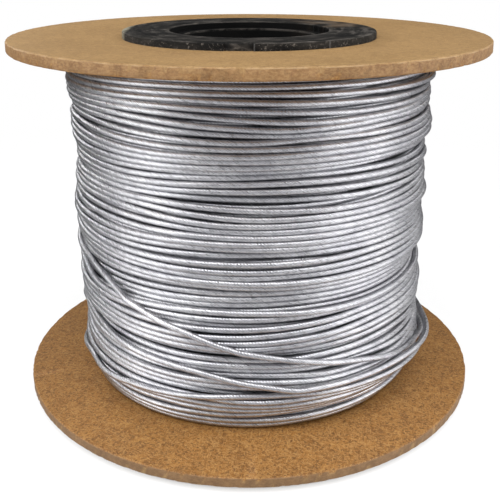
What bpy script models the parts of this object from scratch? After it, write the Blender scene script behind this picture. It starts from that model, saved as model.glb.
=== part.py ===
"""Reel of wire rope: two hardboard flanges on a black moulded hub, wound full of thin rope.

Metres, +Z up along the reel's axis. The origin is the centre of the face it stands on.
"""
import math

import bmesh
import bpy

# Clearance between pieces that touch
SEAT_GAP = 0.0003

# Flanges
FLANGE_RADIUS = 0.1016
FLANGE_THICKNESS = 0.0040
FLANGE_EDGE_BREAK = 0.0004
TRAVERSE = 0.1436

# Barrel between the flanges
BARREL_RADIUS = 0.0410
BARREL_WALL = 0.0042

# Moulded collar that plugs into each end of the barrel
COLLAR_RADIUS = 0.0556
COLLAR_HEIGHT = 0.0032
COLLAR_LAND = 0.0090
COLLAR_EDGE_BREAK = 0.0005
MOUTH_RADIUS = 0.0344
MOUTH_FALL = 0.0006
MOUTH_DEPTH = 0.0027
SLEEVE_BORE_RADIUS = 0.0285
SLEEVE_REACH = 0.0120

# Notch in the collar's rim
NOTCH_WIDTH = 0.0112
NOTCH_DEPTH = 0.0009
NOTCH_ANGLE = math.radians(-94.2)

# Rope and its winding: the radii are over the rope, from the lower flange to the upper one
ROPE_DIAMETER = 0.0024
TURN_PITCH = 0.0027
LAYER_PITCH = 0.0024
GROOVE_DEPTH = 0.0008
FOOT_RADIUS = 0.0727
BELLY_RADIUS = 0.0784
BELLY_HEIGHT = 0.0125
WAIST_RADIUS = 0.0775
SHOULDER_RADIUS = 0.0784
SHOULDER_DROP = 0.0166
TOP_RADIUS = 0.0782

# Slack turn that bows out of the winding: degrees round the reel, and stand-off from the turns
SLACK_TURN_HEIGHT = 0.0203
SLACK_TURN_CLEARANCE = 0.0004
SLACK_TURN_ROUTE = (
    (10, 0.0000),
    (1, 0.0001),
    (-8, 0.0012),
    (-15, 0.0027),
    (-22, 0.0035),
    (-29, 0.0032),
    (-37, 0.0020),
    (-46, 0.0009),
    (-56, 0.0003),
    (-66, 0.0001),
    (-76, 0.0000),
)
SLACK_TURN_STEPS = 2

# Facets round each turned piece
FLANGE_FACETS = 96
COLLAR_FACETS = 64
BARREL_FACETS = 64
WINDING_FACETS = 36
SHARP_ANGLE = math.radians(35)

# Heights that the stack of pieces gives
LOWER_FLANGE_Z = COLLAR_HEIGHT
WINDING_Z = LOWER_FLANGE_Z + FLANGE_THICKNESS
UPPER_FLANGE_Z = WINDING_Z + TRAVERSE
REEL_HEIGHT = UPPER_FLANGE_Z + FLANGE_THICKNESS + COLLAR_HEIGHT

SLEEVE_RADIUS = BARREL_RADIUS - BARREL_WALL - SEAT_GAP
FLANGE_HOLE_RADIUS = SLEEVE_RADIUS + SEAT_GAP


def clear_scene():
    for obj in list(bpy.data.objects):
        bpy.data.objects.remove(obj, do_unlink=True)


def principled(name, colour, roughness, metallic):
    material = bpy.data.materials.new(name)
    material.use_nodes = True
    shader = material.node_tree.nodes["Principled BSDF"]
    shader.inputs["Base Color"].default_value = (*colour, 1.0)
    shader.inputs["Roughness"].default_value = roughness
    shader.inputs["Metallic"].default_value = metallic
    return material


def add_object(name, data, material):
    data.materials.append(material)
    obj = bpy.data.objects.new(name, data)
    bpy.context.scene.collection.objects.link(obj)
    return obj


def turned_mesh(name, profile, facets):
    """Spins a closed outline of (radius, height) points round the Z axis."""
    bm = bmesh.new()
    points = [bm.verts.new((radius, 0.0, height)) for radius, height in profile]
    edges = [bm.edges.new((a, b)) for a, b in zip(points, points[1:] + points[:1])]
    bmesh.ops.spin(
        bm,
        geom=points + edges,
        axis=(0, 0, 1),
        cent=(0, 0, 0),
        steps=facets,
        angle=math.tau,
        use_merge=True,
    )
    bmesh.ops.recalc_face_normals(bm, faces=bm.faces)
    mesh = bpy.data.meshes.new(name)
    bm.to_mesh(mesh)
    bm.free()
    mesh.shade_smooth()
    mesh.set_sharp_from_angle(angle=SHARP_ANGLE)
    return mesh


def flange(name, height, material):
    """A flat board with a round hole and its outer edges just broken."""
    rim = FLANGE_RADIUS - FLANGE_EDGE_BREAK
    profile = (
        (FLANGE_HOLE_RADIUS, 0),
        (rim, 0),
        (FLANGE_RADIUS, FLANGE_EDGE_BREAK),
        (FLANGE_RADIUS, FLANGE_THICKNESS - FLANGE_EDGE_BREAK),
        (rim, FLANGE_THICKNESS),
        (FLANGE_HOLE_RADIUS, FLANGE_THICKNESS),
    )
    board = add_object(name, turned_mesh(name, profile, FLANGE_FACETS), material)
    board.location.z = height
    return board


def barrel(name, material):
    """The tube that the rope is wound on, held between the two flanges."""
    inner = BARREL_RADIUS - BARREL_WALL
    length = TRAVERSE - 2 * SEAT_GAP
    profile = ((inner, 0), (BARREL_RADIUS, 0), (BARREL_RADIUS, length), (inner, length))
    tube = add_object(name, turned_mesh(name, profile, BARREL_FACETS), material)
    tube.location.z = WINDING_Z + SEAT_GAP
    return tube


def collar_mesh(name):
    """One collar with its flange face at height 0, its rim above it and its sleeve below."""
    land_edge = COLLAR_RADIUS - COLLAR_LAND
    mouth_top = COLLAR_HEIGHT - MOUTH_FALL
    ledge = mouth_top - MOUTH_DEPTH
    sleeve_end = -FLANGE_THICKNESS - SLEEVE_REACH
    profile = (
        (SLEEVE_BORE_RADIUS, sleeve_end),
        (SLEEVE_RADIUS, sleeve_end),
        (SLEEVE_RADIUS, SEAT_GAP),
        (COLLAR_RADIUS, SEAT_GAP),
        (COLLAR_RADIUS, COLLAR_HEIGHT - COLLAR_EDGE_BREAK),
        (COLLAR_RADIUS - COLLAR_EDGE_BREAK, COLLAR_HEIGHT),
        (land_edge, COLLAR_HEIGHT),
        (MOUTH_RADIUS + COLLAR_EDGE_BREAK, mouth_top),
        (MOUTH_RADIUS, mouth_top - COLLAR_EDGE_BREAK),
        (MOUTH_RADIUS, ledge),
        (SLEEVE_BORE_RADIUS, ledge),
    )
    return turned_mesh(name, profile, COLLAR_FACETS)


def notch_cutter(name, collar):
    """A block that takes the shallow notch out of the collar's rim, from face to face."""
    mesh = bpy.data.meshes.new(name)
    bm = bmesh.new()
    bmesh.ops.create_cube(bm, size=1.0)
    bmesh.ops.scale(bm, vec=(2 * NOTCH_DEPTH, NOTCH_WIDTH, 4 * COLLAR_HEIGHT), verts=bm.verts)
    bm.to_mesh(mesh)
    bm.free()
    cutter = bpy.data.objects.new(name, mesh)
    bpy.context.scene.collection.objects.link(cutter)
    cutter.hide_render = True
    cutter.display_type = "WIRE"
    cutter.parent = collar
    chord_inset = COLLAR_RADIUS * (1 - math.cos(math.pi / COLLAR_FACETS))
    reach = COLLAR_RADIUS - chord_inset
    cutter.location = (reach * math.cos(NOTCH_ANGLE), reach * math.sin(NOTCH_ANGLE), 0)
    cutter.rotation_euler.z = NOTCH_ANGLE
    return cutter


def collar(name, height, turned_over, material):
    ring = add_object(name, collar_mesh(name), material)
    ring.location.z = height
    ring.rotation_euler.y = math.pi if turned_over else 0.0
    cut = ring.modifiers.new("rim_notch", "BOOLEAN")
    cut.operation = "DIFFERENCE"
    cut.solver = "EXACT"
    cut.object = notch_cutter(name + "_notch_cutter", ring)
    return ring


def winding_radius(height):
    """Radius over the rope at a height above the lower flange's inner face."""
    shoulder_height = TRAVERSE - SHOULDER_DROP
    waist_height = (BELLY_HEIGHT + shoulder_height) / 2
    stations = (
        (0.0, FOOT_RADIUS),
        (BELLY_HEIGHT, BELLY_RADIUS),
        (waist_height, WAIST_RADIUS),
        (shoulder_height, SHOULDER_RADIUS),
        (TRAVERSE, TOP_RADIUS),
    )
    for (low, low_radius), (high, high_radius) in zip(stations, stations[1:]):
        if height <= high:
            share = max(height - low, 0.0) / (high - low)
            eased = share * share * (3 - 2 * share)
            return low_radius + (high_radius - low_radius) * eased
    return TOP_RADIUS


def turns_between(start, end, pitch):
    """The (ridge, valley) places of a row of turns, each valley just past its ridge."""
    turns = round((end - start) / pitch)
    step = (end - start) / turns
    return [(start + (turn + 0.5) * step, start + (turn + 1) * step) for turn in range(turns)]


def end_outline(bore, rim, face, groove):
    """Points from the bore to the rim on one end, with a ridge for each layer of the winding."""
    outline = [(bore, face + groove)]
    for ridge, valley in turns_between(bore, rim, LAYER_PITCH):
        outline.append((ridge, face))
        outline.append((valley, face + groove))
    return outline[:-1]


def side_outline(bottom, top):
    """Points up the outside of the winding, with a ridge for each turn."""
    outline = []
    for ridge, valley in turns_between(bottom, top, TURN_PITCH):
        outline.append((winding_radius(ridge), ridge))
        outline.append((winding_radius(valley) - GROOVE_DEPTH, valley))
    return outline[:-1]


def winding(name, material):
    """The whole winding as one turned solid, its turns showing on its side and its ends."""
    bore = BARREL_RADIUS + SEAT_GAP
    bottom = SEAT_GAP
    top = TRAVERSE - SEAT_GAP
    outline = (
        end_outline(bore, winding_radius(bottom), bottom, GROOVE_DEPTH)
        + side_outline(bottom, top)
        + end_outline(bore, winding_radius(top), top, -GROOVE_DEPTH)[::-1]
    )
    coil = add_object(name, turned_mesh(name, outline, WINDING_FACETS), material)
    coil.location.z = WINDING_Z
    return coil


def smooth_between(before, start, end, after, share):
    """A point of the smooth curve through four neighbouring values."""
    return 0.5 * (
        2 * start
        + (end - before) * share
        + (2 * before - 5 * start + 4 * end - after) * share ** 2
        + (3 * start - before - 3 * end + after) * share ** 3
    )


def slack_turn_points():
    """The slack turn's centreline, read from a smooth curve through its route."""
    rope_radius = ROPE_DIAMETER / 2
    seat = winding_radius(SLACK_TURN_HEIGHT) + rope_radius + SLACK_TURN_CLEARANCE
    route = (SLACK_TURN_ROUTE[0],) + SLACK_TURN_ROUTE + (SLACK_TURN_ROUTE[-1],)
    points = []
    for stretch in zip(route, route[1:], route[2:], route[3:]):
        angles, stand_offs = zip(*stretch)
        for step in range(SLACK_TURN_STEPS):
            share = step / SLACK_TURN_STEPS
            angle = math.radians(smooth_between(*angles, share))
            radius = seat + smooth_between(*stand_offs, share)
            points.append((radius * math.cos(angle), radius * math.sin(angle)))
    last_angle = math.radians(SLACK_TURN_ROUTE[-1][0])
    last_radius = seat + SLACK_TURN_ROUTE[-1][1]
    points.append((last_radius * math.cos(last_angle), last_radius * math.sin(last_angle)))
    height = WINDING_Z + SLACK_TURN_HEIGHT
    return [(x, y, height) for x, y in points]


def slack_turn(name, material):
    curve = bpy.data.curves.new(name, "CURVE")
    curve.dimensions = "3D"
    curve.bevel_depth = ROPE_DIAMETER / 2
    curve.bevel_resolution = 2
    curve.use_fill_caps = True
    points = slack_turn_points()
    spline = curve.splines.new("POLY")
    spline.points.add(len(points) - 1)
    for control, point in zip(spline.points, points):
        control.co = (*point, 1.0)
    return add_object(name, curve, material)


def build_reel():
    clear_scene()
    hardboard = principled("hardboard", (0.45, 0.28, 0.14), 0.65, 0.0)
    black_plastic = principled("black_plastic", (0.035, 0.035, 0.037), 0.5, 0.0)
    steel_rope = principled("steel_rope", (0.52, 0.52, 0.55), 0.35, 1.0)

    flange("bottom_flange", LOWER_FLANGE_Z, hardboard)
    flange("top_flange", UPPER_FLANGE_Z, hardboard)
    barrel("core_barrel", black_plastic)
    collar("bottom_hub_collar", LOWER_FLANGE_Z, True, black_plastic)
    collar("top_hub_collar", REEL_HEIGHT - COLLAR_HEIGHT, False, black_plastic)
    winding("rope_coil", steel_rope)
    slack_turn("slack_turn", steel_rope)


build_reel()
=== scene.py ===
import math
import random

import bpy
import numpy as np
from mathutils import Euler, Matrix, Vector


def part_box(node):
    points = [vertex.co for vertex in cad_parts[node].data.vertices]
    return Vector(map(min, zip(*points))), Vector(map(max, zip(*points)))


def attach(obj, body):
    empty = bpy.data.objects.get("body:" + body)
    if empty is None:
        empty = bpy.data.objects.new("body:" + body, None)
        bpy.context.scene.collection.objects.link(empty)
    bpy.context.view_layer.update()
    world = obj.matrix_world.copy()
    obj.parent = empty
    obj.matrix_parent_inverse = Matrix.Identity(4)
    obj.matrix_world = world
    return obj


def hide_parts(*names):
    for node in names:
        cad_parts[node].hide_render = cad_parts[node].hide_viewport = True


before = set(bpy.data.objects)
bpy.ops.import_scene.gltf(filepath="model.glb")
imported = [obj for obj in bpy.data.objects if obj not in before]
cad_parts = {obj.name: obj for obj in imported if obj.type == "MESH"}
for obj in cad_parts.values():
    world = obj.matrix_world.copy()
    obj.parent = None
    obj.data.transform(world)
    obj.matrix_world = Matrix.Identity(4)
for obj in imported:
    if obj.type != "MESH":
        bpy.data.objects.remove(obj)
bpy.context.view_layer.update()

# Reel sizes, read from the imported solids
lower_flange_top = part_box("bottom_flange")[1].z
upper_flange_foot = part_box("top_flange")[0].z
upper_flange_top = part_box("top_flange")[1].z
reel_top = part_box("top_hub_collar")[1].z
flange_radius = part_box("top_flange")[1].x
traverse = upper_flange_foot - lower_flange_top

# Rope: its thickness, the length in which its wires go round once, and how far a wire stands out
rope_diameter = 0.0024
rope_radius = rope_diameter / 2
rope_lay = 0.0144
outer_wires = 12
wire_relief = 0.00005

# Winding: the pitch of its turns, its play at the flanges, and the step from layer to layer
turn_pitch = 0.00262
flange_clearance = 0.0003
layer_step = 0.00255

# Outline of the winding over its turns, in mm: heights above the lower flange, and radii
left_outline = (
    (0, 72.7),
    (12.5, 76.2),
    (24, 75.8),
    (36, 74.8),
    (43, 78.0),
    (51, 74.8),
    (60, 78.0),
    (69, 76.8),
    (76, 78.0),
    (82, 77.5),
    (92, 76.9),
    (99, 75.2),
    (105, 76.9),
    (113, 78.7),
    (121, 77.0),
    (128, 79.3),
    (143.6, 78.4),
)
right_outline = (
    (0, 72.7),
    (12.5, 78.4),
    (35, 77.7),
    (42, 78.6),
    (53, 75.4),
    (62, 79.2),
    (77, 77.8),
    (87, 79.2),
    (93, 77.2),
    (101, 77.9),
    (107, 74.0),
    (112, 80.1),
    (121, 77.6),
    (127, 79.0),
    (130, 78.4),
    (134.3, 79.6),
    (137.4, 77.6),
    (139.6, 75.6),
    (142, 78.4),
    (143.6, 78.4),
)

# Where the slack turn's solid sits against the winding
belly_radius = 0.0784
belly_height = 0.0125
waist_radius = 0.0775
shoulder_drop = 0.0166

# Slack turn: the same route as the solid that it stands for
slack_height = 0.0203
slack_step = 2.0
slack_clearance = 0.0004
slack_route = (
    (10, 0.0000),
    (1, 0.0001),
    (-8, 0.0012),
    (-15, 0.0027),
    (-22, 0.0035),
    (-29, 0.0032),
    (-37, 0.0020),
    (-46, 0.0009),
    (-56, 0.0003),
    (-66, 0.0001),
    (-76, 0.0000),
)

# Boards, as the photo shows them: damp swells their cut edges, the winding bows the lower one and
# the collar pulls the upper one in
board_hole_radius = 0.0400
board_inset = 0.0001
board_corner = 0.0005
corner_wear = 0.0004
bend_start = 0.0810
upper_swell = 0.00028
lower_swell = 0.00008
lower_bow = 0.00075
upper_dip = 0.0008
dip_start = 0.0740
dip_end = 0.0600
fibre_angles = (0.3, 1.35, 2.4, 2.95)

# Upper collar, as the photo shows it: a little lower and narrower than its solid
collar_top = reel_top - 0.0010
collar_radius = 0.0545
mouth_radius = 0.0342
mouth_fall = 0.0002
mouth_depth = 0.0028
ledge_height = collar_top - mouth_fall - mouth_depth
sleeve_bore_radius = 0.0285
sleeve_wall = 0.0040
sleeve_reach = 0.0120
notch_width = 0.0112
notch_depth = 0.0009
notch_angle = math.radians(-94.2)
mould_line_angle = math.radians(-56)
lug_place = 14
lug_spread = 22
lug_rate = 0.7
lug_reach = 0.0011

# Camera, placed from the photo's two flange rims
photo_width = 500
focal_px = 777.97
optical_centre_px = (249.24, 172.0)
camera_pitch = math.radians(16.048)
camera_distance = 3.3511 * flange_radius
camera_height = lower_flange_top + 1.8027 * flange_radius


# Shader nodes


class Value:
    """A number that varies over a surface. Each operator adds a Math node."""

    def __init__(self, nodes, socket):
        self.nodes = nodes
        self.socket = socket

    def maths(self, operation, *inputs, clamp=False):
        settings = {"operation": operation, "use_clamp": clamp}
        return self.nodes.node("Math", settings, dict(enumerate(inputs)))

    def __add__(self, other):
        return self.maths("ADD", self, other)

    def __radd__(self, other):
        return self.maths("ADD", other, self)

    def __sub__(self, other):
        return self.maths("SUBTRACT", self, other)

    def __rsub__(self, other):
        return self.maths("SUBTRACT", other, self)

    def __mul__(self, other):
        return self.maths("MULTIPLY", self, other)

    def __rmul__(self, other):
        return self.maths("MULTIPLY", other, self)

    def __truediv__(self, other):
        return self.maths("DIVIDE", self, other)

    def __rtruediv__(self, other):
        return self.maths("DIVIDE", other, self)

    def __abs__(self):
        return self.maths("ABSOLUTE", self)

    def root(self):
        return self.maths("SQRT", self)

    def fraction(self):
        return self.maths("FRACT", self)

    def held(self):
        """Kept between 0 and 1."""
        return self.maths("ADD", self, 0.0, clamp=True)

    def larger(self, other):
        return self.maths("MAXIMUM", self, other)

    def rise(self, low, high):
        """0 below low, 1 above high, and smooth between. With low above high it falls."""
        settings = {"interpolation_type": "SMOOTHSTEP"}
        inputs = {"Value": self, "From Min": low, "From Max": high, "To Min": 0.0, "To Max": 1.0}
        if low > high:
            inputs.update({"From Min": high, "From Max": low, "To Min": 1.0, "To Max": 0.0})
        return self.nodes.node("MapRange", settings, inputs)


class Nodes:
    """A tree of shader nodes."""

    def __init__(self, tree):
        self.tree = tree

    def node(self, kind, settings=None, inputs=None, output=0):
        """Adds a node: its settings are set first, then the values or links of its sockets."""
        made = self.tree.nodes.new("ShaderNode" + kind)
        for name, value in (settings or {}).items():
            setattr(made, name, value)
        for key, value in (inputs or {}).items():
            self.feed(made.inputs[key], value)
        return Value(self, made.outputs[output])

    def feed(self, socket, value):
        """Links a varying value to a socket, or sets a fixed one on it."""
        if isinstance(value, Value):
            self.tree.links.new(value.socket, socket)
        elif socket.type == "RGBA" and len(value) == 3:
            socket.default_value = (*value, 1.0)
        else:
            socket.default_value = value

    def place(self):
        """The point on the surface, in metres in the reel's own frame."""
        return self.node("TexCoord", output="Object")

    def parts(self, vector):
        """The x, y and z of a vector."""
        split = self.node("SeparateXYZ", inputs={0: vector}).socket.node
        return [Value(self, socket) for socket in split.outputs]

    def vector(self, x, y, z):
        return self.node("CombineXYZ", inputs={0: x, 1: y, 2: z})

    def turned(self, vector, angle, scale):
        """The vector turned about Z and then scaled, for grain that runs one way."""
        return self.node(
            "Mapping",
            {"vector_type": "TEXTURE"},
            {"Vector": vector, "Rotation": (0, 0, angle), "Scale": [1 / size for size in scale]},
        )

    def noise(self, vector, scale, detail=2.0, roughness=0.5, distortion=0.0):
        inputs = {
            "Vector": vector,
            "Scale": scale,
            "Detail": detail,
            "Roughness": roughness,
            "Distortion": distortion,
        }
        return self.node("TexNoise", inputs=inputs)

    def mix(self, factor, first, second):
        """The first colour where the factor is 0, and the second where it is 1."""
        return self.node("Mix", {"data_type": "RGBA"}, {0: factor, 6: first, 7: second}, output=2)

    def bump(self, height, distance, strength=1.0):
        inputs = {"Height": height, "Distance": distance, "Strength": strength}
        return self.node("Bump", inputs=inputs)


class Finish(Nodes):
    """One procedural material."""

    def __init__(self, name):
        self.material = bpy.data.materials.new(name)
        self.material.use_nodes = True
        super().__init__(self.material.node_tree)
        self.surface = self.tree.nodes["Principled BSDF"]

    def set(self, **sockets):
        """Feeds sockets of the surface shader, named with _ for each space."""
        for name, value in sockets.items():
            self.feed(self.surface.inputs[name.replace("_", " ")], value)


# Finishes


def rope_finish(name):
    """Zinc-coated steel rope: a helix of bright wires, with oil and painted shade in the grooves
    between them.
    """
    finish = Finish(name)
    along, around, _ = finish.parts(finish.node("UVMap", {"uv_map": "rope"}))
    place = finish.place()
    number = (around - along / rope_lay) * outer_wires
    wire = number.fraction() * 2 - 1
    crown = (1 - wire * wire).larger(0.0).root()
    cloud = finish.noise(place, 55, detail=3)
    grain = finish.vector(number * 1.7, along * 260, cloud)
    streak = finish.noise(grain, 1.0, detail=3, roughness=0.7)
    dull = finish.noise(place, 320, detail=2)
    steel = finish.mix(cloud.rise(0.35, 0.7), (0.60, 0.60, 0.63), (0.74, 0.74, 0.76))
    steel = finish.mix(dull.rise(0.52, 0.72) * 0.35, steel, (0.40, 0.40, 0.43))
    steel = finish.mix(streak.rise(0.56, 0.40) * 0.60, steel, (0.30, 0.30, 0.32))
    # Painted shade with oil: the colour darkens from each wire's crown into the groove beside it.
    groove_oil_and_shade = crown.rise(0.05, 0.80) * 0.68 + 0.32
    finish.set(
        Base_Color=finish.mix(groove_oil_and_shade, (0.10, 0.10, 0.11), steel),
        Metallic=1.0,
        Roughness=streak * 0.22 + 0.19,
    )
    finish.set(Normal=finish.bump(crown + streak * 0.5, wire_relief))
    return finish.material


def board_finish(name):
    """Pressed fibre board: pale smooth outer face, golden brown inner face, rough cut edge."""
    finish = Finish(name)
    place = finish.place()
    x, y, height = finish.parts(place)
    outwards = (x * x + y * y).root()
    above_lower = height.rise(lower_flange_top - 0.0022, lower_flange_top - 0.0018)
    inner_face = above_lower * height.rise(upper_flange_foot + 0.0022, upper_flange_foot + 0.0018)
    edge = outwards.rise(flange_radius - 0.0005, flange_radius - 0.0002)

    strands = None
    for angle in fibre_angles:
        layer = finish.noise(finish.turned(place, angle, (420, 2300, 900)), 1.0, 2.0, 0.6, 0.4)
        strands = layer if strands is None else strands.larger(layer)
    flecks = finish.noise(place, 950, detail=4, roughness=0.75)
    cloud = finish.noise(place, 30, detail=4, roughness=0.55)
    drift = finish.noise(place, 130, detail=3)
    grit = finish.noise(place, 360, detail=5, roughness=0.85)

    outer = finish.mix(cloud.rise(0.3, 0.7), (0.310, 0.178, 0.060), (0.390, 0.230, 0.084))
    outer = finish.mix(grit.rise(0.52, 0.36) * 0.55, outer, (0.175, 0.090, 0.026))
    outer = finish.mix(grit.rise(0.54, 0.68) * 0.45, outer, (0.56, 0.355, 0.150))
    outer = finish.mix(flecks.rise(0.48, 0.62) * 0.55, outer, (0.200, 0.104, 0.034))
    outer = finish.mix(strands.rise(0.53, 0.66) * 0.40, outer, (0.54, 0.350, 0.160))

    inner = finish.mix(drift.rise(0.3, 0.7), (0.245, 0.100, 0.018), (0.345, 0.152, 0.031))
    inner = finish.mix(grit.rise(0.50, 0.36) * 0.60, inner, (0.120, 0.042, 0.008))
    inner = finish.mix(strands.rise(0.52, 0.68) * 0.75, inner, (0.52, 0.292, 0.098))
    inner = finish.mix(flecks.rise(0.50, 0.62) * 0.75, inner, (0.110, 0.044, 0.012))

    layers = finish.noise(finish.vector(x * 700, y * 700, height * 1600), 1.0, 3.0, 0.6)
    cut = finish.mix(layers.rise(0.35, 0.65), (0.280, 0.146, 0.052), (0.380, 0.216, 0.086))
    cut = finish.mix(grit.rise(0.50, 0.36) * 0.60, cut, (0.190, 0.080, 0.026))
    cut = finish.mix(flecks.rise(0.50, 0.62) * 0.40, cut, (0.170, 0.092, 0.036))
    corner = height.rise(upper_flange_top - 0.0006, upper_flange_top)
    cut = finish.mix(corner * drift.rise(0.38, 0.56) * 0.45, cut, (0.640, 0.450, 0.240))
    # Painted shade: the lower board's cut edge, which sits low, is darkened.
    cut = finish.mix(height.rise(0.03, 0.01) * 0.55, cut, (0.160, 0.088, 0.040))

    colour = finish.mix(inner_face, outer, inner)
    finish.set(
        Base_Color=finish.mix(edge, colour, cut),
        Roughness=strands * 0.25 + 0.48,
    )
    relief = strands * 0.5 + flecks * 0.5 + layers * edge
    finish.set(Normal=finish.bump(relief, 0.00012, 0.8))
    return finish.material


def collar_finish(name):
    """Black moulded plastic: satin, scuffed in rings and rubbed paler at its edges, with a painted
    highlight on the ledge's inner edge and painted shade in the mouth.
    """
    finish = Finish(name)
    place = finish.place()
    x, y, height = finish.parts(place)
    outwards = (x * x + y * y).root()
    around = finish.node("Math", {"operation": "ARCTAN2"}, {0: y, 1: x})
    rings = finish.noise(finish.vector(outwards * 330, around * 4.0, height * 200), 1.0, 5.0, 0.75)
    wide_rings = finish.noise(finish.vector(outwards * 160, around * 1.5, 0.0), 1.0, 3.0)
    cloud = finish.noise(place, 90, detail=4, roughness=0.6)
    speckle = finish.noise(place, 900, detail=3, roughness=0.8)
    mouth_rub = outwards.rise(mouth_radius + 0.0032, mouth_radius + 0.0003)
    rim_rub = outwards.rise(collar_radius - 0.0016, collar_radius - 0.0003)
    side = outwards.rise(collar_radius - 0.0003, collar_radius - 0.0001)
    # Painted highlight: a thin pale ring along the ledge's inner edge, mottled by the rings.
    ledge_highlight = outwards.rise(sleeve_bore_radius + 0.0010, sleeve_bore_radius + 0.0004)
    ledge_highlight = ledge_highlight * height.rise(ledge_height - 0.0008, ledge_height - 0.0003)
    in_mouth = outwards.rise(mouth_radius + 0.0006, mouth_radius + 0.0001)
    scuff_and_highlight = rings.rise(0.50, 0.66) * 0.55 + cloud.rise(0.48, 0.7) * 0.20
    scuff_and_highlight = scuff_and_highlight + mouth_rub * cloud.rise(0.35, 0.6) * 0.35
    scuff_and_highlight = scuff_and_highlight + rim_rub * rings.rise(0.4, 0.6) * 0.35
    scuff_and_highlight = scuff_and_highlight * (1 - side * 0.8) + speckle.rise(0.57, 0.68) * (side * 0.6 + 0.25)
    dust = (x - 0.012).rise(0.0, 0.03) * (y + 0.004).rise(0.0, 0.02) * cloud.rise(0.40, 0.58) * 0.5
    notch_end = notch_angle + notch_width / 2 / collar_radius
    line = (abs(around - mould_line_angle) * outwards).rise(0.0005, 0.0002) * side
    line = line + (abs(around - notch_end) * outwards).rise(0.0007, 0.0003) * side
    left_mark = (x + collar_radius).rise(0.0042, 0.0012) * cloud.rise(0.36, 0.52)
    body = finish.mix(wide_rings.rise(0.3, 0.7), (0.004, 0.004, 0.004), (0.016, 0.015, 0.013))
    body = finish.mix(dust * (1 - side), body, (0.200, 0.135, 0.080))
    # Painted shade: everything inside the mouth, its wall, ledge and bore, is made near black.
    body = finish.mix(in_mouth * 0.85, body, (0.001, 0.001, 0.001))
    # Scuffs stop at the mouth, and the painted ledge highlight joins them here.
    scuff_and_highlight = scuff_and_highlight * (1 - in_mouth) + ledge_highlight * rings.rise(0.35, 0.6) * 0.35
    colour = finish.mix(scuff_and_highlight.held(), body, (0.150, 0.134, 0.118))
    colour = finish.mix((line * 0.3).held(), colour, (0.20, 0.20, 0.20))
    colour = finish.mix(left_mark, colour, (0.30, 0.28, 0.21))
    finish.set(
        Base_Color=colour,
        Roughness=(cloud * 0.25 + rings * 0.15 + 0.32 + side * 0.2 + in_mouth * 0.3).held(),
        Specular_IOR_Level=0.12,
    )
    relief = rings * 1.5 + cloud * 0.6 + speckle * (side * 1.2 + 0.25) + line * 1.5
    finish.set(Normal=finish.bump(relief, 0.00020, 0.7))
    return finish.material


def floor_finish(name):
    """Plain pale studio floor that fades into the white behind it."""
    finish = Finish(name)
    x, y, _ = finish.parts(finish.place())
    outwards = (x * x + y * y).root()
    # Painted shade under the reel: the floor there is darker grey and does not glow.
    under_reel = outwards.rise(flange_radius, flange_radius - 0.006)
    finish.set(
        Base_Color=finish.mix(under_reel, (0.82, 0.82, 0.82), (0.35, 0.35, 0.35)),
        Roughness=0.7,
        Emission_Color=finish.mix(under_reel, (1.0, 1.0, 1.0), (0.0, 0.0, 0.0)),
        Emission_Strength=0.35,
        Alpha=(outwards.rise(0.50, 0.12) * 0.35).larger(under_reel),
    )
    return finish.material


# Rope route

# Every turn starts at the seam, at the back, and is sampled once round the reel
seam_degrees = 90
samples = 180
sample_angle = math.tau / samples
angle_row = math.radians(seam_degrees) + np.arange(samples) * sample_angle
# How often turns are pushed apart and pulled tight, and how far one strays by itself
pack_rounds = 4
pull_rounds = 260
inner_wander = 0.0001
wander = 0.00025
# Where the outer layer starts, and the stretch below it in which the core steps in to make room
outer_layer_foot = 0.0625
step_span = 0.013
# Distance from a flange in which ridges and drift fade out
ridge_fade = 0.010
drift_fade = 0.008

# Angles round the reel and heights above the lower flange of the rope's last turns, in mm
last_turns = (
    (90, 62.0),
    (150, 57.5),
    (200, 52.6),
    (225, 50.3),
    (240, 50.8),
    (253, 51.5),
    (267, 51.6),
    (300, 51.2),
    (360, 53.0),
    (450, 58.5),
    (540, 61.5),
    (560, 60.4),
    (572, 58.6),
    (580, 55.9),
    (587, 53.2),
    (594, 50.0),
    (603, 46.3),
    (612, 43.3),
    (624, 38.2),
    (631, 35.8),
    (639, 33.3),
    (648, 30.9),
    (657, 28.4),
    (665, 26.3),
    (674, 23.8),
    (683, 21.4),
    (692, 19.4),
    (701, 17.2),
    (710, 14.9),
    (722, 13.6),
    (765, 12.2),
    (810, 10.0),
    (860, 8.6),
    (900, 8.8),
    (915, 11.2),
    (927, 13.2),
    (937, 12.4),
    (944, 12.8),
    (952, 14.2),
    (964, 15.8),
    (984, 17.6),
    (1010, 17.4),
    (1050, 14.8),
    (1090, 12.2),
    (1130, 11.0),
    (1190, 14.0),
    (1240, 25.0),
    (1270, 32.0),
    (1287, 33.4),
    (1305, 31.2),
    (1323, 28.6),
    (1335, 26.8),
    (1345, 24.8),
    (1355, 22.6),
    (1364, 20.3),
    (1400, 20.3),
    (1450, 20.3),
    (1485, 19.4),
    (1530, 16.6),
    (1575, 14.4),
    (1620, 13.6),
)
# Gaps between turns: angle of the middle, mm from the layer's first turn, half width in degrees
# and half opening in mm, below 0 where turns close up. The outer layer starts at the upper flange
lower_gaps = (
    (-45, 19.0, 18, 1.7),
    (-40, 32.5, 16, 1.0),
    (-89, 19.2, 16, 1.2),
    (-112, 35.5, 32, -1.7),
)
outer_gaps = (
    (-35, 24.6, 16, 1.2),
)
# How soon above and below a gap the turns have moved fully, and how far the move carries
gap_softness = 0.001
gap_reach = 0.008
# Where the last turns go into the slack turn and come back from it, in the route's degrees
slack_start = 4 * 360 + slack_route[-1][0]
slack_end = 4 * 360 + slack_route[0][0]
# Degrees in which a run meets the slack turn and in which the rope's end tucks in, and how deep
joint_span = 12
tuck_span = 14
tuck_depth = rope_diameter * 1.3


def eased(share):
    """A share from 0 to 1, slowed at both ends."""
    return share * share * (3 - 2 * share)


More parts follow.
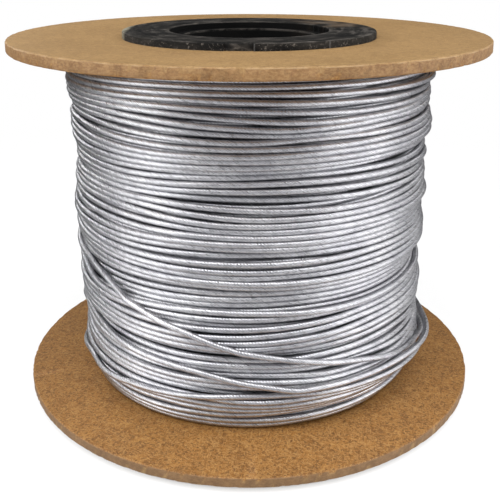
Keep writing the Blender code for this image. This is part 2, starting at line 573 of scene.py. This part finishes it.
def smooth_between(before, start, end, after, share):
    """A point of the smooth curve through four neighbouring values."""
    return 0.5 * (
        2 * start
        + (end - before) * share
        + (2 * before - 5 * start + 4 * end - after) * share ** 2
        + (3 * start - before - 3 * end + after) * share ** 3
    )


def read_route(route, places):
    """Values at the given places, from a smooth curve through a route's points."""
    known = np.array([angle for angle, _ in route], float)
    values = np.array([value for _, value in route], float)
    at = np.clip(np.searchsorted(known, places, side="right") - 1, 0, len(known) - 2)
    share = np.clip((places - known[at]) / (known[at + 1] - known[at]), 0, 1)
    before = values[np.maximum(at - 1, 0)]
    after = values[np.minimum(at + 2, len(values) - 1)]
    return smooth_between(before, values[at], values[at + 1], after, share)


def smoothed(values, spread):
    """The values averaged over their neighbours, with the ends held."""
    padded = np.pad(values, spread, mode="edge")
    weights = np.hanning(2 * spread + 3)[1:-1]
    return np.convolve(padded, weights / weights.sum(), mode="valid")


class Waves:
    """A slow drift over the winding, shared by neighbouring turns so that they bundle."""

    def __init__(self, seed, count, shortest, longest, size, times):
        draw = random.Random(seed)
        self.terms = []
        for _ in range(count):
            length = draw.uniform(shortest, longest)
            share = size * (length / longest) / math.sqrt(count / 2)
            turn_rate = draw.choice(times) * draw.choice((-1, 1))
            self.terms.append((turn_rate, math.tau / length, draw.uniform(0, math.tau), share))

    def at(self, angle, height):
        return sum(
            size * np.sin(times * angle + rate * height + phase)
            for times, rate, phase, size in self.terms
        )


ridges = Waves(seed=4, count=8, shortest=0.0070, longest=0.0110, size=0.00075, times=(0, 1, 1, 2))
drift_waves = {"count": 16, "shortest": 0.012, "longest": 0.050, "size": 0.0021}
lower_drift = Waves(seed=5, times=(1, 1, 2, 2, 3), **drift_waves)
upper_drift = Waves(seed=8, times=(1, 1, 2, 2, 3), **drift_waves)


def core_radius(angle, height):
    """Radius under the first layer. It's deeper where the outer layer lies over it."""
    left = read_route(left_outline, height * 1000) / 1000
    right = read_route(right_outline, height * 1000) / 1000
    outline = left + (right - left) * (1 + np.cos(angle)) / 2
    layers = 2 + eased(np.clip((height - outer_layer_foot + step_span) / step_span, 0, 1))
    ridge = ridges.at(angle, height) * np.clip(height / ridge_fade, 0, 1)
    return outline - layers * layer_step + ridge


def rising(values):
    """The closest row of values that never falls: neighbours that fall are averaged together."""
    blocks = []
    for value in values:
        blocks.append((value, 1))
        while len(blocks) > 1 and blocks[-2][0] > blocks[-1][0]:
            later, later_count = blocks.pop()
            earlier, earlier_count = blocks.pop()
            count = earlier_count + later_count
            blocks.append(((earlier * earlier_count + later * later_count) / count, count))
    return np.concatenate([np.full(count, value) for value, count in blocks])


def pack_turns(target, low, high):
    """Moves turns apart just enough that none overlaps the next, and keeps them in bounds."""
    height = target.copy()
    closest = 0.8 * rope_diameter
    for _ in range(pack_rounds):
        climb = np.diff(core_radius(angle_row, height), axis=0)
        need = np.sqrt(np.clip(rope_diameter ** 2 - climb ** 2, closest ** 2, None))
        taken = np.vstack([np.zeros(samples), np.cumsum(1.01 * need, axis=0)])
        free = np.array([rising(column) for column in (target - taken).T]).T
        height = np.clip(free, low, high - taken[-1]) + taken
    return smoothed(height.ravel(), 4).reshape(height.shape)


class Winding:
    """The turns laid so far. Each is a row of heights and radii, sampled once round the reel."""

    def __init__(self):
        self.heights = np.empty((0, samples))
        self.radii = np.empty((0, samples))

    def rest(self, height, under):
        """Radius at which a rope rests on the core and on the first turns that were laid."""
        seat = core_radius(angle_row, height) + rope_radius
        heights = self.heights[:under]
        close = (heights.max(axis=1, initial=0) > height.min() - rope_diameter) & (
            heights.min(axis=1, initial=1) < height.max() + rope_diameter
        )
        if not close.any():
            return seat
        gaps = height - heights[close]
        rise = np.sqrt(np.clip(rope_diameter ** 2 - gaps ** 2, 0, None))
        on_turns = np.where(rise > 0, self.radii[:under][close] + rise, 0).max(axis=0)
        return np.maximum(on_turns, seat)

    def pull_tight(self, rest, start):
        """The turn's radii once it runs straight between the high spots that it rests on."""
        radius = rest.copy()
        chord = math.cos(sample_angle)
        for _ in range(pull_rounds):
            before = np.concatenate(([start], radius[:-1]))
            after = np.append(radius[1:], radius[-1])
            radius = np.maximum(rest, 0.5 * (before + after) * chord)
        return np.maximum(rest, smoothed(radius, 3))

    def lay(self, heights, under=None):
        """Adds turns that rest on the first turns laid, or else on every turn before them."""
        radius = self.radii[-1][-1] if len(self.radii) else None
        for height in heights:
            rest = self.rest(height, len(self.heights) if under is None else under)
            row = self.pull_tight(rest, rest[0] if radius is None else radius)
            radius = row[-1]
            self.heights = np.vstack([self.heights, height])
            self.radii = np.vstack([self.radii, row])


def wobble(draw, reach):
    """One turn's own small wander."""
    return sum(
        draw.uniform(-reach, reach) / times * np.sin(times * angle_row + draw.uniform(0, math.tau))
        for times in (1, 2, 3, 5)
    )


def spread_apart(gaps, angle, level):
    """How far each height moves away from the open gaps, most at the middle of a gap."""
    move = 0.0
    for middle, height, half_width, opening in gaps:
        away = (np.degrees(angle) - middle + 180) % 360 - 180
        window = np.clip(1 - (away / half_width) ** 2, 0, 1)
        rise = level - height / 1000
        share = np.tanh(rise / gap_softness) * np.exp(-abs(rise) / gap_reach)
        move = move + opening / 1000 * window * share
    return move


def level_turns(low, high, draw, reach, drift=None, gaps=()):
    """Turns side by side between two heights, from the lowest up."""
    turns = round((high - low) / turn_pitch)
    turn = np.arange(turns)[:, None] + np.arange(samples)[None, :] / samples
    level = low + np.clip(turn, 0.5, turns - 0.5) * (high - low) / turns
    target = level + np.array([wobble(draw, reach) for _ in range(turns)])
    if drift is not None:
        from_end = np.minimum(level - low, high - level)
        target = target + drift.at(angle_row, level) * np.clip(from_end / drift_fade, 0, 1)
    target = target + spread_apart(gaps, angle_row, level)
    return pack_turns(target, low + rope_radius, high - rope_radius)


def lay_rope():
    """Lays two full layers, the outer one over the upper part, and the last turns across them."""
    draw = random.Random(11)
    winding = Winding()
    low = flange_clearance
    high = traverse - flange_clearance
    inner = level_turns(low, high, draw, inner_wander)
    winding.lay(inner[::-1, ::-1], under=0)
    middle_layer = len(winding.heights)
    middle = level_turns(low, high, draw, wander, lower_drift, lower_gaps)
    winding.lay(middle, under=middle_layer)
    outer_layer = len(winding.heights)
    outer = level_turns(low, high - outer_layer_foot, draw, wander, upper_drift, outer_gaps)
    winding.lay(traverse - outer, under=outer_layer)
    last_layer = len(winding.heights)
    degrees = np.degrees(angle_row)
    turns = math.ceil((last_turns[-1][0] - seam_degrees) / 360)
    winding.lay([read_route(last_turns, degrees + 360 * turn) / 1000 for turn in range(turns)])
    return winding, middle_layer, outer_layer, last_layer


def rope_points(heights, radii, start_degrees=seam_degrees):
    """A rope's centreline as points, from rows of heights and radii."""
    angles = np.radians(start_degrees) + np.arange(heights.size) * sample_angle
    radii = radii.ravel()
    level = lower_flange_top + heights.ravel()
    return np.stack([radii * np.cos(angles), radii * np.sin(angles), level], axis=1)


def slack_seat():
    """Radius of the slack turn's centreline where it lies against the turns."""
    waist_height = (belly_height + traverse - shoulder_drop) / 2
    share = (slack_height - belly_height) / (waist_height - belly_height)
    against = belly_radius + (waist_radius - belly_radius) * eased(share)
    return against + rope_radius + slack_clearance


# Rope meshes


def tube_mesh(name, points, sides, radius, start_length=0.0):
    """A closed tube along points, mapped by its length and the angle round it."""
    points = np.asarray(points)
    ahead = np.gradient(points, axis=0)
    ahead /= np.linalg.norm(ahead, axis=1)[:, None]
    outward = points * (1, 1, 0)
    outward -= (outward * ahead).sum(axis=1)[:, None] * ahead
    outward /= np.linalg.norm(outward, axis=1)[:, None]
    across = np.cross(ahead, outward)
    steps = np.linalg.norm(np.diff(points, axis=0), axis=1)
    lengths = start_length + np.concatenate(([0], np.cumsum(steps)))
    turn = np.arange(sides) / sides
    ring = (
        np.cos(math.tau * turn)[None, :, None] * outward[:, None, :]
        + np.sin(math.tau * turn)[None, :, None] * across[:, None, :]
    )
    corners = (points[:, None, :] + radius * ring).reshape(-1, 3)

    rows = np.arange(len(points) - 1)[:, None] * sides
    column = np.arange(sides)[None, :]
    after = (column + 1) % sides
    around_face = [rows + sides + column, rows + sides + after, rows + after, rows + column]
    faces = np.stack(around_face, axis=2).reshape(-1, 4).tolist()
    last_row = (len(points) - 1) * sides
    caps = [list(range(sides)), list(range(last_row, last_row + sides))[::-1]]
    mesh = bpy.data.meshes.new(name)
    mesh.from_pydata(corners.tolist(), [], faces + caps)

    map_layer = mesh.uv_layers.new(name="rope")
    low = np.broadcast_to(lengths[:-1, None], (len(points) - 1, sides))
    high = np.broadcast_to(lengths[1:, None], (len(points) - 1, sides))
    left = np.broadcast_to(turn, low.shape)
    right = left + 1 / sides
    quads = np.stack([high, left, high, right, low, right, low, left], axis=2).reshape(-1, 2)
    first_cap = [(lengths[0], share) for share in turn]
    last_cap = [(lengths[-1], share) for share in turn[::-1]]
    spots = np.concatenate([quads, first_cap, last_cap])
    map_layer.uv.foreach_set("vector", spots.astype(np.float32).ravel())
    mesh.validate()
    mesh.shade_smooth()
    mesh.set_sharp_from_angle(angle=math.radians(60))
    return mesh, lengths[-1]


def add_piece(name, mesh, material, slot, *nodes):
    """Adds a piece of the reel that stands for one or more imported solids."""
    piece = bpy.data.objects.new(name, mesh)
    bpy.context.scene.collection.objects.link(piece)
    mesh.materials.append(material)
    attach(piece, "root")
    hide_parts(*nodes)
    return piece


def slack_points(step):
    """The slack turn's centreline: its stand-off from the turns, read every few degrees."""
    route = slack_route[::-1]
    degrees = np.arange(route[0][0], route[-1][0] + step / 2, step)
    radii = slack_seat() + read_route(route, degrees)
    angles = np.radians(degrees)
    height = np.full_like(radii, lower_flange_top + slack_height)
    return np.stack([radii * np.cos(angles), radii * np.sin(angles), height], axis=1)


def add_slack_turn(material):
    points = slack_points(slack_step)
    mesh, length = tube_mesh("slack_turn_rope", points, 16, rope_radius)
    piece = add_piece("slack_turn_rope", mesh, material, "steel_rope", "slack_turn")


def last_runs(winding, last_layer):
    """The last turns up to the slack turn, and the end that goes on from it and tucks in."""
    heights = winding.heights[last_layer:].ravel()
    radii = winding.radii[last_layer:].ravel()
    degrees = seam_degrees + np.arange(heights.size) * 360 / samples
    end = last_turns[-1][0]
    from_joint = np.minimum(abs(degrees - slack_start), abs(degrees - slack_end))
    near = eased(np.clip(1 - from_joint / joint_span, 0, 1))
    near = np.where((degrees > slack_start) & (degrees < slack_end), 1, near)
    radii = radii + (slack_seat() - radii) * near
    tuck = np.clip((degrees - end + tuck_span) / tuck_span, 0, 1)
    radii = radii - tuck_depth * tuck * tuck
    before = degrees <= slack_start
    after = (degrees >= slack_end) & (degrees <= end)
    return [
        rope_points(heights[before], radii[before]),
        rope_points(heights[after], radii[after], slack_end),
    ]


def add_winding(material):
    """The layers and the last turns. What others cover is made of fewer, plainer faces."""
    winding, middle_layer, outer_layer, last_layer = lay_rope()
    half_way = middle_layer + (outer_layer - middle_layer) // 2
    # Name, first turn, the turn after its last, one point kept out of how many, faces round it
    layers = [
        ("rope_inner_turns", 0, middle_layer, 2, 8),
        ("rope_lower_turns", middle_layer, half_way, 1, 12),
        ("rope_covered_turns", half_way, outer_layer, 2, 8),
        ("rope_upper_turns", outer_layer, last_layer, 1, 12),
    ]
    runs = []
    for name, first, last, stride, sides in layers:
        end = last * samples + 1
        heights = winding.heights.ravel()[first * samples : end]
        radii = winding.radii.ravel()[first * samples : end]
        runs.append((name, rope_points(heights, radii)[::stride], sides))
    last_run, tail_run = last_runs(winding, last_layer)
    runs.append(("rope_last_turns", last_run, 14))
    runs.append(("rope_tail", tail_run, 14))
    length = 0.0
    for name, points, sides in runs:
        mesh, length = tube_mesh(name, points, sides, rope_radius, length)
        add_piece(name, mesh, material, "steel_rope", "rope_coil")


steel_rope = rope_finish("steel_rope")
add_slack_turn(steel_rope)
add_winding(steel_rope)


# Turned pieces


def turned_mesh(name, profile, angles, shift):
    """A solid turned from a closed row of radii and heights. shift moves its points by angle."""
    radii, heights = np.array(profile).T
    steps, count = len(angles), len(profile)
    radii = radii[None, :] + shift
    heights = np.broadcast_to(heights, radii.shape)
    turn = angles[:, None]
    corners = np.stack([radii * np.cos(turn), radii * np.sin(turn), heights], axis=2)
    ring = np.arange(steps)[:, None] * count
    after_ring = (np.arange(steps) + 1)[:, None] % steps * count
    point = np.arange(count)[None, :]
    after = (point + 1) % count
    faces = np.stack([ring + point, after_ring + point, after_ring + after, ring + after], axis=2)
    mesh = bpy.data.meshes.new(name)
    mesh.from_pydata(corners.reshape(-1, 3).tolist(), [], faces.reshape(-1, 4).tolist())
    mesh.validate()
    mesh.shade_smooth()
    mesh.set_sharp_from_angle(angle=math.radians(35))
    return mesh


def board_mesh(name, foot, top, dip, bow, swell, seed):
    """A pressed board disc with worn corners, its dip under the collar and its bow at the rim."""
    rim_foot = foot - bow - swell
    rim_top = top - bow + swell
    profile = (
        (board_hole_radius, foot),
        (bend_start, foot),
        (flange_radius - board_corner, rim_foot),
        (flange_radius - board_inset, rim_foot + board_corner),
        (flange_radius - board_inset, rim_top - board_corner),
        (flange_radius - board_corner, rim_top),
        (bend_start, top),
        (dip_start, top - dip * 0.5),
        (dip_end, top - dip),
        (board_hole_radius, top - dip),
    )
    angles = np.arange(360) * math.tau / 360
    draw = random.Random(seed)
    shift = np.zeros((len(angles), len(profile)))
    for point in (2, 3, 4, 5):
        wear = np.array([draw.uniform(0, 1) ** 3 for _ in angles])
        shift[:, point] = -corner_wear * wear
    return turned_mesh(name, profile, angles, shift)


def collar_mesh(name):
    """The upper collar: outer wall with its notch, mouth with worn lugs, ledge and sleeve."""
    foot = upper_flange_top - upper_dip - 0.0002
    sleeve_end = upper_flange_foot - sleeve_reach
    profile = (
        (sleeve_bore_radius, sleeve_end),
        (sleeve_bore_radius + sleeve_wall, sleeve_end),
        (sleeve_bore_radius + sleeve_wall, foot),
        (collar_radius, foot),
        (collar_radius, collar_top - 0.0006),
        (collar_radius - 0.0002, collar_top - 0.0002),
        (collar_radius - 0.0008, collar_top),
        (mouth_radius + 0.0070, collar_top),
        (mouth_radius + 0.0008, collar_top - mouth_fall),
        (mouth_radius, collar_top - mouth_fall - 0.0004),
        (mouth_radius, ledge_height),
        (sleeve_bore_radius + 0.0009, ledge_height),
        (sleeve_bore_radius + 0.0005, ledge_height + 0.0003),
        (sleeve_bore_radius, ledge_height),
    )
    half = notch_width / 2 / collar_radius
    edges = [notch_angle + side * (half + step) for side in (-1, 1) for step in (-0.0004, 0.0004)]
    angles = np.sort(np.concatenate([np.arange(240) * math.tau / 240 - math.pi, edges]))
    shift = np.zeros((len(angles), len(profile)))
    shift[:, 3:7] = -notch_depth * (abs(angles - notch_angle) < half)[:, None]
    lug = np.clip(1 - abs(np.degrees(angles) - lug_place) / lug_spread, 0, 1)
    tooth = np.maximum(np.sin(np.degrees(angles) * lug_rate), 0) * np.minimum(lug * 3, 1)
    shift[:, 8:11] = -lug_reach * tooth[:, None]
    return turned_mesh(name, profile, angles, shift)


board = board_finish("pressed_board")
plastic = collar_finish("black_plastic")
lower_board = board_mesh(
    "lower_board",
    foot=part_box("bottom_flange")[0].z,
    top=lower_flange_top,
    dip=0.0,
    bow=lower_bow,
    swell=lower_swell,
    seed=31,
)
upper_board = board_mesh(
    "upper_board",
    foot=upper_flange_foot,
    top=upper_flange_top,
    dip=upper_dip,
    bow=0.0,
    swell=upper_swell,
    seed=32,
)
add_piece("lower_board", lower_board, board, "flange_board", "bottom_flange")
add_piece("upper_board", upper_board, board, "flange_board", "top_flange")
add_piece("upper_collar", collar_mesh("upper_collar"), plastic, "hub_plastic", "top_hub_collar")
# The barrel and the lower collar keep their solids and get their finish
for node in ("core_barrel", "bottom_hub_collar"):
    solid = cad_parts[node]
    solid.data.materials.clear()
    solid.data.materials.append(plastic)


# Floor, light and camera


def add_floor():
    mesh = bpy.data.meshes.new("floor")
    half = 0.6
    corners = [(-half, -half, 0), (half, -half, 0), (half, half, 0), (-half, half, 0)]
    mesh.from_pydata(corners, [], [(0, 1, 2, 3)])
    mesh.materials.append(floor_finish("pale_floor"))
    floor = bpy.data.objects.new("floor", mesh)
    bpy.context.scene.collection.objects.link(floor)


def add_softbox(name, azimuth, elevation, width, height, power, distance=1.0):
    """A rectangular light that faces the middle of the reel."""
    light = bpy.data.lights.new(name, "AREA")
    light.shape = "RECTANGLE"
    light.size = width
    light.size_y = height
    light.energy = power
    lamp = bpy.data.objects.new(name, light)
    bpy.context.scene.collection.objects.link(lamp)
    turn = Euler((0, math.radians(-elevation), math.radians(azimuth)))
    outward = Vector((1, 0, 0))
    outward.rotate(turn)
    lamp.location = Vector((0, 0, reel_top / 2)) + outward * distance
    lamp.rotation_euler = (-outward).to_track_quat("-Z", "Y").to_euler()


def add_lights():
    add_softbox(
        "softbox_above", azimuth=-90, elevation=64, width=1.3, height=0.4, power=8.0, distance=1.1
    )
    add_softbox("softbox_left", azimuth=-154, elevation=12, width=0.8, height=1.9, power=7.2)
    add_softbox("softbox_right", azimuth=-18, elevation=12, width=1.1, height=1.9, power=9.0)
    add_softbox("strip_left", azimuth=148, elevation=22, width=1.2, height=0.08, power=2.6)
    add_softbox("strip_right", azimuth=42, elevation=22, width=0.6, height=0.12, power=0.5)


def add_studio():
    """What the reel reflects: pale in front and dark behind on the left. The backdrop is white."""
    world = bpy.data.worlds.new("studio")
    world.use_nodes = True
    sky = Nodes(world.node_tree)
    sideways, behind, _ = sky.parts(sky.node("TexCoord", output="Generated"))
    dark_part = (behind * 0.9 - sideways * 0.38).rise(0.05, 0.70)
    studio = sky.mix(dark_part, (0.50, 0.50, 0.51), (0.08, 0.08, 0.08))
    backdrop = sky.node("LightPath", output="Is Camera Ray")
    colour = sky.mix(backdrop, studio, (1.0, 1.0, 1.0))
    sky.feed(sky.tree.nodes["Background"].inputs["Color"], colour)
    bpy.context.scene.world = world


def add_camera():
    scene = bpy.context.scene
    camera_data = bpy.data.cameras.new("camera")
    camera_data.sensor_width = 36.0
    camera_data.lens = focal_px / photo_width * camera_data.sensor_width
    camera_data.shift_x = 0.5 - optical_centre_px[0] / photo_width
    camera_data.shift_y = optical_centre_px[1] / photo_width - 0.5
    camera_data.clip_start = 0.01
    camera = bpy.data.objects.new("camera", camera_data)
    scene.collection.objects.link(camera)
    camera.location = (0, -camera_distance, camera_height)
    camera.rotation_euler = (math.radians(90) - camera_pitch, 0, 0)
    scene.camera = camera
    scene.view_settings.view_transform = "Standard"


add_floor()
add_lights()
add_studio()
add_camera()
